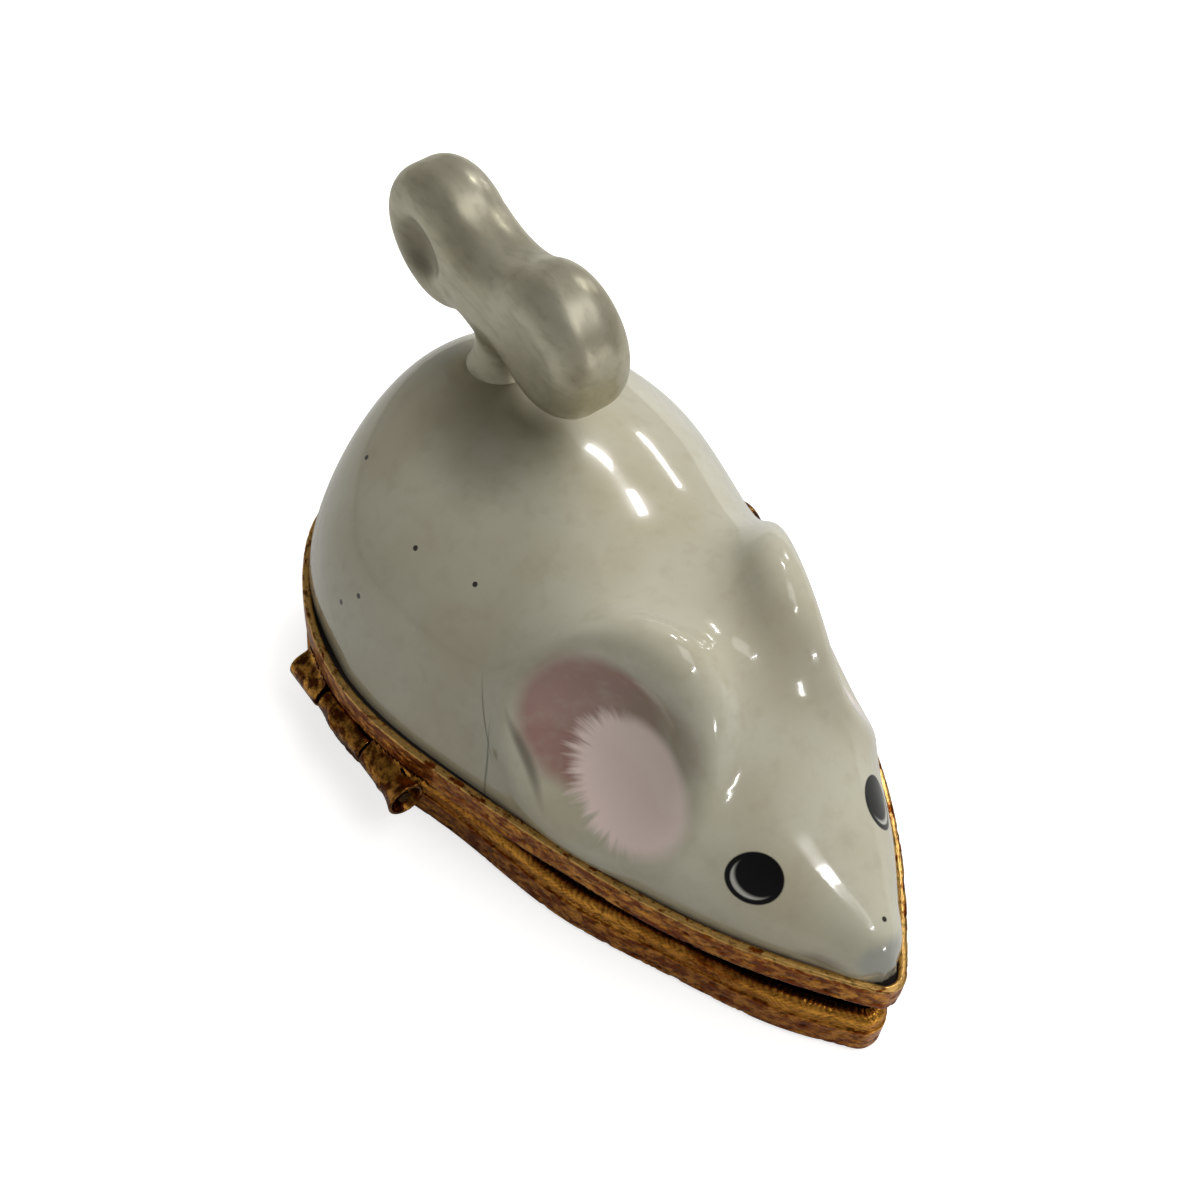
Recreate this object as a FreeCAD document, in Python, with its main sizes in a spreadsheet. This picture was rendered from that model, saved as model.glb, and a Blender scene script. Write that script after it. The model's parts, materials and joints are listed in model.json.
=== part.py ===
import FreeCAD, Part
import math
import os

import Sketcher

from FreeCAD import Matrix, Placement, Rotation, Vector

# A hinged porcelain trinket box in the shape of a mouse with a wind-up key on its back.
# Nose towards -Y, hinge on the -X flank, Z up, origin at the middle of the resting face.
os.makedirs("parts", exist_ok=True)
doc = FreeCAD.newDocument("mouse_box")

# Driving dimensions in millimetres: name, value, what it measures
dimensions = (
    ("lid_length", 57.6, "lid bezel, nose to rear"),
    ("lid_width", 36.8, "lid bezel at its widest"),
    ("base_end_inset", 0.2, "base bezel inside the lid's at nose and rear"),
    ("base_side_inset", 0.4, "base bezel inside the lid's at the sides"),
    ("nose_offset", 0.5, "how far the nose lies towards the hinge"),
    ("flank_offset", 0.5, "how far the flanks lie towards the hinge"),
    ("bezel_wall", 0.6, "metal of both bezels"),
    ("foot_lift", 0.25, "base bezel above the table"),
    ("base_band_top", 2.6, "top of the base's plain band"),
    ("shoulder_ledge", 0.15, "crisp step above that band"),
    ("shoulder_rise", 1.3, "height of the quarter-round shoulder"),
    ("shoulder_inset", 1.0, "how far the shoulder turns inwards"),
    ("recess_depth", 0.7, "recess behind the shoulder"),
    ("base_height", 6.25, "top of the base bezel's neck"),
    ("lid_gap", 0.1, "between neck and closed lid"),
    ("lid_band_height", 2.3, "lid bezel"),
    ("ledge_thickness", 0.5, "ledge that carries the porcelain"),
    ("ledge_width", 1.5, "ledge, inside the lid bezel's wall"),
    ("setting_gap", 0.7, "cement between porcelain and bezel"),
    ("cement_drop", 0.35, "cement below the bezel's rim"),
    ("side_rise", 0.95, "upright part of the porcelain's foot"),
    ("body_rise", 16.2, "crest of the back above that upright part"),
    ("shell_wall", 1.8, "porcelain of the lid"),
    ("ear_width", 15.2, "ear, front to back"),
    ("ear_length", 17.4, "ear, top to bottom"),
    ("ear_bulge", 2.7, "half the ear's thickness"),
    ("ear_rim", 1.3, "rim round the ear's hollow"),
    ("ear_dish_depth", 2.0, "depth of the ear's hollow"),
    ("ear_side", 8.5, "ear's middle from the midplane"),
    ("ear_forward", 7.1, "ear's middle in front of the origin"),
    ("ear_height", 17.0, "ear's middle above the table"),
    ("tail_radius", 1.25, "tail at its root"),
    ("tail_tip_radius", 0.45, "tail at its tip"),
    ("tail_lift", 0.5, "tail's middle above the bezel's rim"),
    ("key_length", 23.8, "bow of the key, end to end"),
    ("key_lobe_radius", 5.4, "each rounded end of the bow"),
    ("key_waist_radius", 6.7, "hollow between the two ends"),
    ("key_thickness", 5.9, "bow across the midplane"),
    ("key_edge_radius", 2.3, "rounding of the bow's edges"),
    ("key_dimple_radius", 3.0, "ball that hollows the rear lobe"),
    ("key_dimple_depth", 0.8, "depth of that hollow"),
    ("key_back", 20.0, "key's axis behind the origin"),
    ("key_height", 31.3, "middle of the bow above the table"),
    ("shank_radius", 2.0, "shank of the key"),
    ("shank_flare", 1.3, "how far its foot spreads"),
    ("shank_flare_rise", 2.0, "height of that spread"),
    ("shank_sunk", 1.5, "shank below the crest of the back"),
    ("dish_gap", 0.4, "porcelain base inside the neck"),
    ("dish_wall", 1.7, "wall of the porcelain base"),
    ("dish_floor", 1.6, "floor of the porcelain base"),
    ("dish_drop", 0.3, "its rim below the neck"),
    ("dish_corner", 1.2, "rounding between its floor and wall"),
    ("knuckle_radius", 1.15, "hinge barrel"),
    ("knuckle_swell", 0.15, "bulge of the middle knuckle"),
    ("trumpet_swell", 0.4, "flare of the front knuckle's end"),
    ("trumpet_length", 1.6, "length of that flare"),
    ("hinge_length", 14.4, "barrel, end to end"),
    ("hinge_rear", 17.0, "rear end of the barrel"),
    ("hinge_drop", 1.35, "hinge axis below the neck's top"),
    ("hinge_in", 0.2, "hinge axis inside the lid's widest point"),
    ("knuckle_gap", 0.25, "between knuckles"),
    ("pin_radius", 0.45, "hinge pin"),
    ("pin_clearance", 0.05, "around the pin"),
    ("pin_inset", 0.3, "pin's ends inside the barrel"),
    ("leaf_thickness", 0.9, "leaf that carries the middle knuckle"),
    ("lug_rise", 2.1, "lugs of the lid above the hinge axis"),
    ("lug_reach", 1.7, "lugs of the lid inwards from the axis"),
    ("thumb_radius", 2.3, "round thumbpiece of the clasp"),
    ("thumb_thickness", 1.1, "thumbpiece, outside the lid bezel"),
    ("thumb_edge", 0.8, "rounding of its outer edge"),
    ("thumb_root", 1.5, "thumbpiece before it is trimmed to the bezel"),
    ("thumb_drop", 0.3, "its middle below the lid bezel"),
    ("catch_radius", 0.5, "bead that the thumbpiece snaps over"),
    ("catch_length", 2.6, "that bead"),
    ("catch_gap", 0.45, "between bead and thumbpiece"),
    ("overrun", 4.0, "cuts pass the solid by this much"),
)

sheet = doc.addObject("Spreadsheet::Sheet", "sizes")
for row, (alias, value, note) in enumerate(dimensions, start=1):
    sheet.set("A%d" % row, alias)
    sheet.set("B%d" % row, str(value))
    sheet.setAlias("B%d" % row, alias)
    sheet.set("C%d" % row, note)
doc.recompute()

# Shapes as shares of the sizes above
outline_y_shares = (-0.4965, -0.485, -0.42, -0.30, -0.15, 0.02, 0.20, 0.36, 0.47)
lid_half_width_shares = (0.045, 0.083, 0.253, 0.503, 0.703, 0.872, 0.980, 0.863, 0.559)
base_half_width_shares = (0.048, 0.089, 0.264, 0.481, 0.703, 0.823, 0.980, 0.875, 0.574)
dish_half_width_shares = (0.060, 0.118, 0.300, 0.489, 0.703, 0.823, 0.980, 0.875, 0.574)
nose_start_share, nose_end_share = -0.10, -0.50
flank_middle_share, flank_spread_share = 0.08, 0.22
body_y_shares = (-0.466, -0.455, -0.425, -0.365, -0.295, -0.208, -0.122, -0.035,
                 0.07, 0.174, 0.278, 0.365, 0.425, 0.458, 0.472)
crest_shares = (0.154, 0.216, 0.284, 0.377, 0.506, 0.673, 0.833, 0.895,
                0.920, 0.980, 1.0, 1.0, 0.926, 0.740, 0.475)
crown_power_shares = (2.11, 2.11, 2.10, 2.08, 2.06, 2.07, 2.13, 2.20,
                      2.27, 2.10, 1.90, 1.75, 1.65, 1.55, 1.45)
flank_swell_shares = (0.023, 0.024, 0.027, 0.030, 0.033, 0.035, 0.020, -0.005,
                      -0.020, -0.010, 0.018, 0.010, 0.0, 0.0, 0.0)
side_power_share = 2.13
body_sections = tuple(zip(body_y_shares, crest_shares, crown_power_shares, flank_swell_shares))
hollow_sections = body_sections[3:-2]
arc_shares = (1 / 6, 1 / 3, 1 / 2, 2 / 3, 5 / 6)
span_samples = 3
halvings = 40
shoulder_angles = (0, 30, 60, 90)
ear_facing_shares = (-0.823, -0.380, 0.422)
tail_turn_shares = (0.565, 0.59, 0.615, 0.64, 0.66, 0.68, 0.695)
ear_turn = -11.2
key_tilt = -1.6
key_lean = -6.2
key_edge_share = 0.45
touch_share = 0.01
knuckle_shares = (0.26, 0.40, 0.34)


def size(alias):
    return float(sheet.get(alias))


def sum_of(words):
    # Names in a sum become references to the sheet
    return " ".join("<<sizes>>." + w if w[0].isalpha() and w[-1] != "(" else w for w in words.split())


def bind(piece, **sums):
    for name, words in sums.items():
        piece.setExpression(name, sum_of(words))
    return piece


def place(piece, x="0", y="0", z="0", rotation=Rotation()):
    piece.Placement = Placement(Vector(), rotation)
    for axis, words in (("x", x), ("y", y), ("z", z)):
        piece.setExpression("Placement.Base." + axis, sum_of(words))
    return piece


def feature(name, shape):
    piece = doc.addObject("Part::Feature", name)
    piece.Shape = shape
    return piece


def cut(name, base, tool):
    piece = doc.addObject("Part::Cut", name)
    piece.Base = base
    piece.Tool = tool
    return piece


def fuse(name, *pieces):
    piece = doc.addObject("Part::MultiFuse", name)
    piece.Shapes = list(pieces)
    return piece


def box(name, x, y, z, length, width, height):
    return place(bind(doc.addObject("Part::Box", name), Length=length, Width=width, Height=height), x, y, z)


# Heights that several pieces share
lid_low = "base_height + lid_gap"
lid_high = lid_low + " + lid_band_height"
foot = lid_low + " + ledge_thickness"
lid_low_z = size("base_height") + size("lid_gap")
lid_high_z = lid_low_z + size("lid_band_height")
foot_z = lid_low_z + size("ledge_thickness")
side_z = foot_z + size("side_rise")


# Outlines, all symmetric about the midline
def closed_curve(points):
    curve = Part.BSplineCurve()
    curve.interpolate(Points=points, PeriodicFlag=True)
    return curve


def midline(y):
    # Seen from above the box isn't quite even: nose and flanks lie a little towards the hinge
    share = y / size("lid_length")
    nose = max(0, (share - nose_start_share) / (nose_end_share - nose_start_share)) ** 2
    flank = math.exp(-((share - flank_middle_share) / flank_spread_share) ** 2)
    return -size("nose_offset") * nose - size("flank_offset") * flank


def outline(length, width, half_width_shares):
    stations = [(length * y, width / 2 * w) for y, w in zip(outline_y_shares, half_width_shares)]
    right = [Vector(midline(y) + w, y, 0) for y, w in stations]
    left = [Vector(midline(y) - w, y, 0) for y, w in reversed(stations)]
    nose = Vector(midline(-length / 2), -length / 2, 0)
    return closed_curve([nose] + right + [Vector(0, length / 2, 0)] + left)


def inset(curve, distance):
    # The same outline moved inwards along its own normal
    points = []
    knots = curve.getKnots()
    for start, end in zip(knots, knots[1:]):
        for i in range(span_samples):
            t = start + (end - start) * i / span_samples
            along = curve.tangent(t)[0]
            points.append(curve.value(t) + Vector(-along.y, along.x, 0) * distance)
    return closed_curve(points)


def half_width(curve, y):
    # Distance from the midline to the outline at a station
    first, last = curve.FirstParameter, curve.LastParameter
    low, high = first, (first + last) / 2
    for _ in range(halvings):
        middle = (low + high) / 2
        if curve.value(middle).y < y:
            low = middle
        else:
            high = middle
    return curve.value(low).x - midline(y)


def wire_at(curve, z):
    wire = Part.Wire([curve.toShape()])
    wire.translate(Vector(0, 0, z))
    return wire


def prism(name, curve, low, high):
    profile = place(feature(name + "_outline", Part.Wire([curve.toShape()])), z=low)
    piece = doc.addObject("Part::Extrusion", name)
    piece.Base = profile
    piece.DirMode = "Custom"
    piece.Dir = Vector(0, 0, 1)
    piece.Solid = True
    return bind(piece, LengthFwd=high + " - ( " + low + " )")


def rounded(name, base, z, radius):
    # Rounds every edge that lies at one height
    doc.recompute()
    piece = doc.addObject("Part::Fillet", name)
    piece.Base = base
    piece.Edges = [(i, radius, radius) for i, edge in enumerate(base.Shape.Edges, start=1)
                   if abs(edge.BoundBox.ZMin - z) + abs(edge.BoundBox.ZMax - z) < radius * touch_share]
    return piece


lid_edge = outline(size("lid_length"), size("lid_width"), lid_half_width_shares)
lid_inner_edge = inset(lid_edge, size("bezel_wall"))
foot_edge = inset(lid_edge, size("bezel_wall") + size("setting_gap"))
ledge_inset = size("bezel_wall") + size("ledge_width")
ledge_edge = outline(size("lid_length") - 4 * ledge_inset, size("lid_width") - 2 * ledge_inset,
                     lid_half_width_shares)
base_length = size("lid_length") - 2 * size("base_end_inset")
base_width = size("lid_width") - 2 * size("base_side_inset")
base_edge = outline(base_length, base_width, base_half_width_shares)
shoulder_edge = inset(base_edge, size("shoulder_ledge"))
cavity_edge = inset(base_edge, size("bezel_wall"))
neck_length = base_length - 2 * size("shoulder_inset")
neck_width = base_width - 2 * (size("shoulder_inset") + size("recess_depth"))
neck_edge = outline(neck_length, neck_width, base_half_width_shares)
neck_inner_edge = inset(neck_edge, size("bezel_wall"))
dish_edge = inset(neck_edge, size("bezel_wall") + size("dish_gap"))
dish_inset = size("bezel_wall") + size("dish_gap") + size("dish_wall")
dish_inner_edge = outline(neck_length - 4 * dish_inset, neck_width - 2 * dish_inset, dish_half_width_shares)


# Base bezel: plain band, step, quarter-round shoulder, and a neck that carries the lid
base_band = prism("base_band", base_edge, "foot_lift", "base_band_top")
base_step = prism("base_step", shoulder_edge, "base_band_top", "base_band_top + shoulder_rise")
shoulder_z = size("base_band_top") + size("shoulder_rise")
base_shoulder = rounded("base_shoulder", base_step, shoulder_z, size("shoulder_inset") - 2 * size("shoulder_ledge"))
base_neck = prism("base_neck", neck_edge, "base_band_top + shoulder_rise", "base_height")
base_cavity = prism("base_cavity", cavity_edge, "foot_lift - overrun", "base_band_top")
base_mouth = prism("base_mouth", neck_inner_edge, "foot_lift - overrun", "base_height + overrun")
base_bezel = cut("base_bezel", fuse("base_metal", base_band, base_shoulder, base_neck),
                 fuse("base_openings", base_cavity, base_mouth))

# Porcelain base: a shallow dish whose floor is the resting face
dish_outside = prism("dish_outside", dish_edge, "0", "base_height - dish_drop")
dish_hollow = prism("dish_hollow", dish_inner_edge, "dish_floor + dish_corner", "base_height + overrun")
dish_round = feature("dish_round", Part.makeLoft(
    [wire_at(inset(dish_inner_edge, size("dish_corner") * (1 - math.sin(math.radians(angle)))),
             size("dish_floor") + size("dish_corner") * (1 - math.cos(math.radians(angle))))
     for angle in shoulder_angles], True, False))
base_porcelain = cut("base_porcelain", dish_outside, fuse("dish_inside", dish_hollow, dish_round))

# Cement that sets the dish in the bezel
base_fill = prism("base_fill", cavity_edge, "foot_lift + cement_drop", "base_band_top")
dish_seat = prism("dish_seat", dish_edge, "0 - overrun", "base_height")
base_cement = cut("base_setting_cement", base_fill, dish_seat)

# Lid bezel: a thin band with a ledge inside its lower edge
lid_band = prism("lid_band", lid_edge, lid_low, lid_high)
lid_mouth = prism("lid_mouth", lid_inner_edge, foot, lid_high + " + overrun")
lid_throat = prism("lid_throat", ledge_edge, lid_low + " - overrun", foot)
lid_bezel = cut("lid_bezel", lid_band, fuse("lid_openings", lid_mouth, lid_throat))


# Mouse body: upright foot under a rounded arch at every station along its length
def dome_section(y, side, low, middle, high, crown_power, flank_swell):
    middle_x = midline(y)
    rise = high - middle

    def arch(share):
        # From the right foot of the arch at 0 to its crest at 1
        turn = share * math.pi / 2
        up = math.sin(turn) ** (2 / crown_power)
        out = math.cos(turn) ** (2 / side_power_share) * (1 + flank_swell * math.sin(math.pi * up))
        return side * out, middle + rise * up

    rising = [arch(share) for share in arc_shares]
    points = [Vector(middle_x + side, y, middle)]
    points += [Vector(middle_x + x, y, z) for x, z in rising]
    points += [Vector(middle_x, y, high)]
    points += [Vector(middle_x - x, y, z) for x, z in reversed(rising)]
    points += [Vector(middle_x - side, y, middle)]
    curve = Part.BSplineCurve()
    curve.interpolate(Points=points)
    right_foot, left_foot = Vector(middle_x + side, y, low), Vector(middle_x - side, y, low)
    return Part.Wire([Part.makeLine(right_foot, points[0]), curve.toShape(),
                      Part.makeLine(points[-1], left_foot), Part.makeLine(left_foot, right_foot)])


def dome(stations, wall, low):
    sections = []
    for y_share, crest_share, crown_power, flank_swell in stations:
        y = size("lid_length") * y_share
        side = half_width(foot_edge, y) - wall
        crest = side_z + size("body_rise") * crest_share - wall
        sections.append(dome_section(y, side, low, side_z - wall * crest_share, crest, crown_power, flank_swell))
    return Part.makeLoft(sections, True, False)


def on_ear(shape):
    # Moves a shape from the origin to the right ear, its Z along the way the ear faces
    facing = Vector(*ear_facing_shares).normalize()
    across = Vector(0, 0, 1).cross(facing).normalize()
    across = Rotation(facing, ear_turn).multVec(across)
    middle = Vector(-size("ear_side"), -size("ear_forward"), size("ear_height"))
    shape.Placement = Placement(middle, Rotation(across, facing.cross(across), facing, "ZXY"))
    return shape


def ear_solid():
    stretch = Matrix()
    stretch.scale(Vector(size("ear_width") / 2, size("ear_length") / 2, size("ear_bulge")))
    return on_ear(Part.makeSphere(1).transformGeometry(stretch))


def ear_hollow():
    # A ball pressed into the ear, as long as the ear is
    mouth, depth = size("ear_width") / 2 - size("ear_rim"), size("ear_dish_depth")
    ball = (mouth ** 2 + depth ** 2) / (2 * depth)
    rim = size("ear_bulge") * math.sqrt(1 - (2 * mouth / size("ear_width")) ** 2)
    stretch = Matrix()
    stretch.scale(Vector(1, size("ear_length") / size("ear_width"), 1))
    return on_ear(Part.makeSphere(ball, Vector(0, 0, rim - depth + ball)).transformGeometry(stretch))


def pair(name, shape):
    # The piece on the right side and its mirror image
    return [feature(name + "_right", shape), feature(name + "_left", shape.mirror(Vector(), Vector(1, 0, 0)))]


def tail_solid():
    # A tapering cord laid round the rump, from the rear to the right flank
    rings = []
    first, last = foot_edge.FirstParameter, foot_edge.LastParameter
    steps = len(tail_turn_shares) - 1
    for i, turn in enumerate(tail_turn_shares):
        radius = size("tail_radius") + (size("tail_tip_radius") - size("tail_radius")) * i / steps
        t = first + (last - first) * turn
        along = foot_edge.tangent(t)[0]
        middle = foot_edge.value(t) + Vector(-along.y, along.x, 0) * (radius / 2)
        middle.z = lid_high_z + size("tail_lift")
        ring = Part.Wire([Part.makeCircle(radius)])
        ring.Placement = Placement(middle, Rotation(Vector(0, 0, 1), Vector(), along, "ZXY"))
        rings.append(ring)
    return Part.makeLoft(rings, True, False)


body_outside = feature("body_outside", dome(body_sections, 0, foot_z - size("overrun")))
ears = pair("ear", ear_solid())
ear_hollows = pair("ear_hollow", ear_hollow())
tail = feature("tail", tail_solid())
below_foot = box("below_foot", "0 - lid_width", "0 - lid_length", foot + " - 3 * overrun",
                 "2 * lid_width", "2 * lid_length", "3 * overrun")
body_hollow = feature("body_hollow", dome(hollow_sections, size("shell_wall"), foot_z - size("overrun")))
eared = cut("mouse_with_ears", fuse("mouse_blank", body_outside, *ears), fuse("ear_dishes", *ear_hollows))
mouse = cut("mouse", fuse("mouse_with_tail", eared, tail), below_foot)
lid_porcelain = cut("lid_porcelain", mouse, body_hollow)

# Cement that sets the mouse in the lid bezel
lid_fill = prism("lid_fill", lid_inner_edge, foot, lid_high + " - cement_drop")
lid_cement = cut("lid_setting_cement", lid_fill, mouse)


# Wind-up key: a two-lobed bow with soft edges on a short flared shank
def key_bow():
    body = doc.addObject("PartDesign::Body", "key_bow")
    plane = [p for p in body.Origin.OriginFeatures if p.Role == "YZ_Plane"][0]
    sketch = body.newObject("Sketcher::SketchObject", "bow_outline")
    sketch.AttachmentSupport = [(plane, "")]
    sketch.MapMode = "FlatFace"
    lobe, waist = size("key_lobe_radius"), size("key_waist_radius")
    reach = size("key_length") / 2 - lobe
    rise = math.sqrt((lobe + waist) ** 2 - reach ** 2)
    turn = math.atan2(rise, -reach)
    up = Vector(0, 0, 1)
    lean = math.atan2(rise, reach)

    def arc(x, y, radius, start, end):
        return sketch.addGeometry(Part.ArcOfCircle(Part.Circle(Vector(x, y, 0), up, radius), start, end), False)

    front = arc(-reach, 0, lobe, math.pi - turn, math.pi + turn)
    rear = arc(reach, 0, lobe, -turn, turn)
    over = arc(0, rise, waist, math.pi + lean, 2 * math.pi - lean)
    under = arc(0, -rise, waist, lean, math.pi - lean)
    sketch.addConstraint([
        Sketcher.Constraint("Tangent", rear, 2, over, 2),
        Sketcher.Constraint("Tangent", over, 1, front, 1),
        Sketcher.Constraint("Tangent", front, 2, under, 2),
        Sketcher.Constraint("Tangent", under, 1, rear, 1),
        Sketcher.Constraint("PointOnObject", rear, 3, -1),
        Sketcher.Constraint("Symmetric", front, 3, rear, 3, -1, 1),
        Sketcher.Constraint("Equal", front, rear),
        Sketcher.Constraint("Equal", over, under),
    ])
    for geometry, name, words, value in ((rear, "lobe", "key_lobe_radius", lobe),
                                         (over, "waist", "key_waist_radius", waist)):
        index = sketch.addConstraint(Sketcher.Constraint("Radius", geometry, value))
        sketch.renameConstraint(index, name)
        sketch.setExpression("Constraints." + name, sum_of(words))
    index = sketch.addConstraint(Sketcher.Constraint("DistanceX", -1, 1, rear, 3, reach))
    sketch.renameConstraint(index, "reach")
    sketch.setExpression("Constraints.reach", sum_of("key_length / 2 - key_lobe_radius"))
    pad = body.newObject("PartDesign::Pad", "bow_pad")
    pad.Profile = sketch
    pad.SideType = "Symmetric"
    bind(pad, Length="key_thickness")
    doc.recompute()
    half = size("key_thickness") / 2
    edges = ["Edge%d" % (i + 1) for i, edge in enumerate(pad.Shape.Edges)
             if abs(abs(edge.CenterOfMass.x) - half) < half * touch_share]
    fillet = body.newObject("PartDesign::Fillet", "bow_edges")
    fillet.Base = (pad, edges)
    bind(fillet, Radius="min( key_edge_radius ; key_thickness * %s )" % key_edge_share)
    return body


# The rear lobe has a shallow hollow in each face
dimple_out = "key_thickness / 2 + key_dimple_radius - key_dimple_depth"
dimples = []
for name, x in (("dimple_right", "0 - ( " + dimple_out + " )"), ("dimple_left", dimple_out)):
    ball = bind(doc.addObject("Part::Sphere", name), Radius="key_dimple_radius")
    dimples.append(place(ball, x, "key_length / 2 - key_lobe_radius"))
bow = place(cut("bow", key_bow(), fuse("dimples", *dimples)), "0", "key_back", "key_height",
            Rotation(Vector(0, 1, 0), key_lean).multiply(Rotation(Vector(1, 0, 0), key_tilt)))
crest_z = foot + " + side_rise + body_rise"
shank = place(bind(doc.addObject("Part::Cylinder", "shank_stem"), Radius="shank_radius",
                   Height="key_height - ( " + crest_z + " ) + shank_sunk"),
              "0", "key_back", crest_z + " - shank_sunk")
flare = place(bind(doc.addObject("Part::Cone", "shank_foot"), Radius1="shank_radius + shank_flare",
                   Radius2="shank_radius", Height="shank_flare_rise + shank_sunk"),
              "0", "key_back", crest_z + " - shank_sunk")
winding_key = cut("winding_key", fuse("key_blank", bow, shank, flare), mouse)


# Hinge: three knuckles on one pin along the right flank
hinge_x = "0 - lid_width / 2 + hinge_in"
hinge_z = "base_height - hinge_drop"
along_y = Rotation(Vector(1, 0, 0), -90)


def knuckle_span(first, last):
    # Start and length of the knuckles from first to last, counted from the rear, less the gaps
    before, here = sum(knuckle_shares[:first]), sum(knuckle_shares[first:last + 1])
    start = "hinge_rear - hinge_length * %s" % (before + here)
    gaps = (first > 0) + (last < len(knuckle_shares) - 1)
    if last < len(knuckle_shares) - 1:
        start += " + knuckle_gap / 2"
    return start, "hinge_length * %s - knuckle_gap * %s / 2" % (here, gaps)


def barrel(name, radius, start, length):
    rod = bind(doc.addObject("Part::Cylinder", name), Radius=radius, Height=length)
    return place(rod, hinge_x, start, hinge_z, along_y)


pin = barrel("hinge_pin", "pin_radius", "hinge_rear - hinge_length + pin_inset", "hinge_length - 2 * pin_inset")
pin_bore = barrel("pin_bore", "pin_radius + pin_clearance", "hinge_rear - hinge_length - overrun",
                  "hinge_length + 2 * overrun")


def lid_knuckle(name, index, *extra):
    # Barrel and the lug that joins it to the lid bezel, seated on the band's outer face
    start, length = knuckle_span(index, index)
    root = box(name + "_root", hinge_x + " - knuckle_radius", start, hinge_z,
               "knuckle_radius + lug_reach", length, "lug_rise")
    cove = place(bind(doc.addObject("Part::Cylinder", name + "_cove"), Radius="lug_rise", Height=length),
                 "0 - lid_width / 2", start, hinge_z, along_y)
    lug = doc.addObject("Part::Common", name + "_lug")
    lug.Base = root
    lug.Tool = cove
    blank = fuse(name + "_blank", barrel(name + "_barrel", "knuckle_radius", start, length), lug, *extra)
    return cut(name, cut(name + "_seated", blank, lid_seat), pin_bore)


lid_seat = prism("lid_seat", lid_edge, lid_low, lid_high)
knuckle_rear = lid_knuckle("hinge_knuckle_rear", 0)
front_start, front_length = knuckle_span(2, 2)
trumpet = place(bind(doc.addObject("Part::Cone", "trumpet"), Radius1="knuckle_radius + trumpet_swell",
                     Radius2="knuckle_radius", Height="trumpet_length"),
                hinge_x, front_start, hinge_z, along_y)
knuckle_front = lid_knuckle("hinge_knuckle_front", 2, trumpet)

# The middle knuckle swells a little and stands on a leaf of the base
middle_start, middle_length = knuckle_span(1, 1)
swell = bind(doc.addObject("Part::Ellipsoid", "knuckle_bulge"), Radius1=middle_length.join(("( ", " ) / 2")),
             Radius2="knuckle_radius + knuckle_swell", Radius3="knuckle_radius + knuckle_swell")
place(swell, hinge_x, middle_start + " + ( " + middle_length + " ) / 2", hinge_z, along_y)
leaf = box("middle_leaf", hinge_x, middle_start, "base_band_top + shoulder_rise",
           "lid_width / 2 - hinge_in", middle_length, "leaf_thickness")
neck_seat = prism("neck_seat", neck_edge, "0 - overrun", "base_height + overrun")
middle_blank = fuse("middle_blank", barrel("middle_barrel", "knuckle_radius", middle_start, middle_length),
                    swell, leaf)
knuckle_middle = cut("hinge_knuckle_middle", cut("middle_seated", middle_blank, neck_seat), pin_bore)

# Clasp opposite the hinge: a thumbpiece on the lid snaps over a bead on the base
clasp_y = "hinge_rear - hinge_length / 2"
clasp_station = size("hinge_rear") - size("hinge_length") / 2
lid_side = midline(clasp_station) + half_width(lid_edge, clasp_station)
neck_side = midline(clasp_station) + half_width(neck_edge, clasp_station)
thumb_disc = bind(doc.addObject("Part::Cylinder", "thumb_disc"), Radius="thumb_radius",
                  Height="thumb_root + thumb_thickness")
thumb_blank = rounded("thumb_blank", thumb_disc, size("thumb_root") + size("thumb_thickness"), size("thumb_edge"))
place(thumb_blank, "%s - thumb_root" % lid_side, clasp_y, lid_low + " - thumb_drop",
      Rotation(Vector(0, 1, 0), 90))
thumb_back = prism("thumb_back", lid_edge, "0 - overrun", lid_high + " + overrun")
thumbpiece = cut("clasp_thumbpiece", thumb_blank, thumb_back)
bead_x = "%s - catch_gap - catch_radius" % lid_side
bead_z = "base_band_top + shoulder_rise + 2 * catch_radius"
bead = bind(doc.addObject("Part::Cylinder", "catch_bead"), Radius="catch_radius", Height="catch_length")
place(bead, bead_x, clasp_y + " - catch_length / 2", bead_z, along_y)
bracket = box("catch_bracket", "%s - overrun / 2" % neck_side, clasp_y + " - catch_length / 2",
              "base_band_top + shoulder_rise", "%s - ( %s - overrun / 2 )" % (bead_x, neck_side),
              "catch_length", "2 * catch_radius")
catch = cut("clasp_catch", fuse("catch_blank", bead, bracket), neck_seat)

nodes = (lid_porcelain, winding_key, lid_bezel, lid_cement, knuckle_rear, knuckle_middle, knuckle_front, pin,
         thumbpiece, catch, base_bezel, base_porcelain, base_cement)
doc.recompute()
for piece in doc.Objects:
    faults = [state for state in piece.State if state in ("Invalid", "Error")]
    if faults:
        raise RuntimeError("%s is %s" % (piece.Name, faults))
for node in nodes:
    if node.Shape.isNull() or not node.Shape.isValid():
        raise RuntimeError("%s has no valid shape" % node.Label)
    bounds = node.Shape.BoundBox
    print("%-22s solids %d  volume %9.2f  x %.2f..%.2f  y %.2f..%.2f  z %.2f..%.2f" % (
        node.Label, len(node.Shape.Solids), node.Shape.Volume, bounds.XMin, bounds.XMax,
        bounds.YMin, bounds.YMax, bounds.ZMin, bounds.ZMax))
for node in nodes:
    node.Shape.exportStep("parts/%s.step" % node.Label)
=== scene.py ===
import json
import math

import bpy
import numpy as np
import openvdb
from mathutils import Matrix, Vector
from mathutils.bvhtree import BVHTree


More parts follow.
